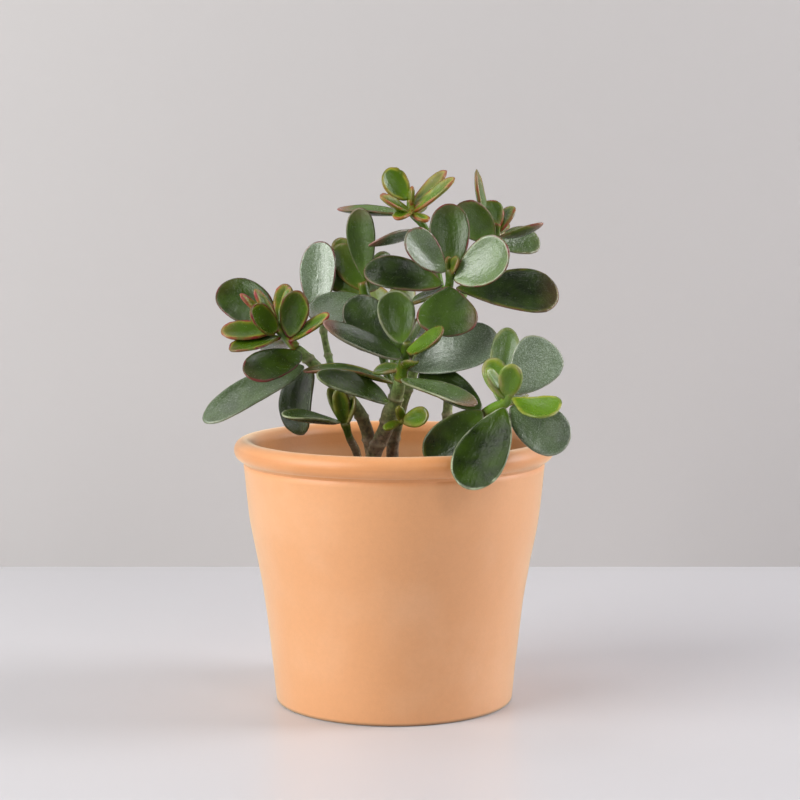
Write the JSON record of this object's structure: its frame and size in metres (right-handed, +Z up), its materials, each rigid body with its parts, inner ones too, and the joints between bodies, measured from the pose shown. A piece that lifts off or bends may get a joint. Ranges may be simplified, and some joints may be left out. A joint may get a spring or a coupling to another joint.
{
  "type": "potted jade plant",
  "caption": "Small branching jade plant with thick oval leaves, growing in a round tapered clay pot with a rolled rim.",
  "frame": {"origin": "centre of the pot's underside, on the surface that it stands on", "axes": "+Z up along the pot's axis; -Y is the front, the side that the plant is shown from; +X is to the viewer's right"},
  "size_m": [0.1769, 0.1742, 0.2657],
  "materials": {
    "terracotta": "matte",
    "potting_soil": "matte",
    "jade_bark": "matte",
    "young_jade_leaf": "satin",
    "jade_leaf": "satin"
  },
  "bodies": {
    "root": {"leaf_back_1": "jade_leaf", "leaf_back_2": "jade_leaf", "leaf_back_3": "jade_leaf", "leaf_back_4": "jade_leaf", "leaf_back_5": "jade_leaf", "leaf_centre_1": "jade_leaf", "leaf_centre_2": "jade_leaf", "leaf_centre_3": "jade_leaf", "leaf_centre_4": "jade_leaf", "leaf_centre_5": "jade_leaf", "leaf_centre_6": "jade_leaf", "leaf_front_1": "jade_leaf", "leaf_front_2": "jade_leaf", "leaf_front_3": "jade_leaf", "leaf_front_4": "jade_leaf", "leaf_front_5": "jade_leaf", "leaf_front_6": "jade_leaf", "leaf_high_left_1": "jade_leaf", "leaf_high_left_2": "jade_leaf", "leaf_high_right_1": "jade_leaf", "leaf_high_right_2": "jade_leaf", "leaf_high_right_3": "jade_leaf", "leaf_left_1": "jade_leaf", "leaf_left_2": "jade_leaf", "leaf_left_3": "jade_leaf", "leaf_left_4": "jade_leaf", "leaf_left_5": "jade_leaf", "leaf_low_left_1": "jade_leaf", "leaf_low_left_2": "jade_leaf", "leaf_low_left_3": "jade_leaf", "leaf_low_left_4": "jade_leaf", "leaf_low_left_5": "jade_leaf", "leaf_right_1": "jade_leaf", "leaf_right_2": "jade_leaf", "leaf_right_3": "jade_leaf", "leaf_right_4": "jade_leaf", "leaf_right_5": "jade_leaf", "leaf_right_6": "jade_leaf", "leaf_right_7": "jade_leaf", "leaf_right_8": "jade_leaf", "leaf_top_1": "jade_leaf", "leaf_top_2": "jade_leaf", "leaf_top_3": "jade_leaf", "pot": "terracotta", "potting_soil": "potting_soil", "sprout": "young_jade_leaf", "stem_centre": "jade_bark", "stem_left": "jade_bark", "stem_left_side": "jade_bark", "stem_main": "jade_bark", "stem_right": "jade_bark", "tip_back": "young_jade_leaf", "tip_centre": "young_jade_leaf", "tip_front": "young_jade_leaf", "tip_high_left": "young_jade_leaf", "tip_high_right": "young_jade_leaf", "tip_left": "young_jade_leaf", "tip_low_left": "young_jade_leaf", "tip_right": "young_jade_leaf", "tip_top": "young_jade_leaf"}
  },
  "joints": []
}
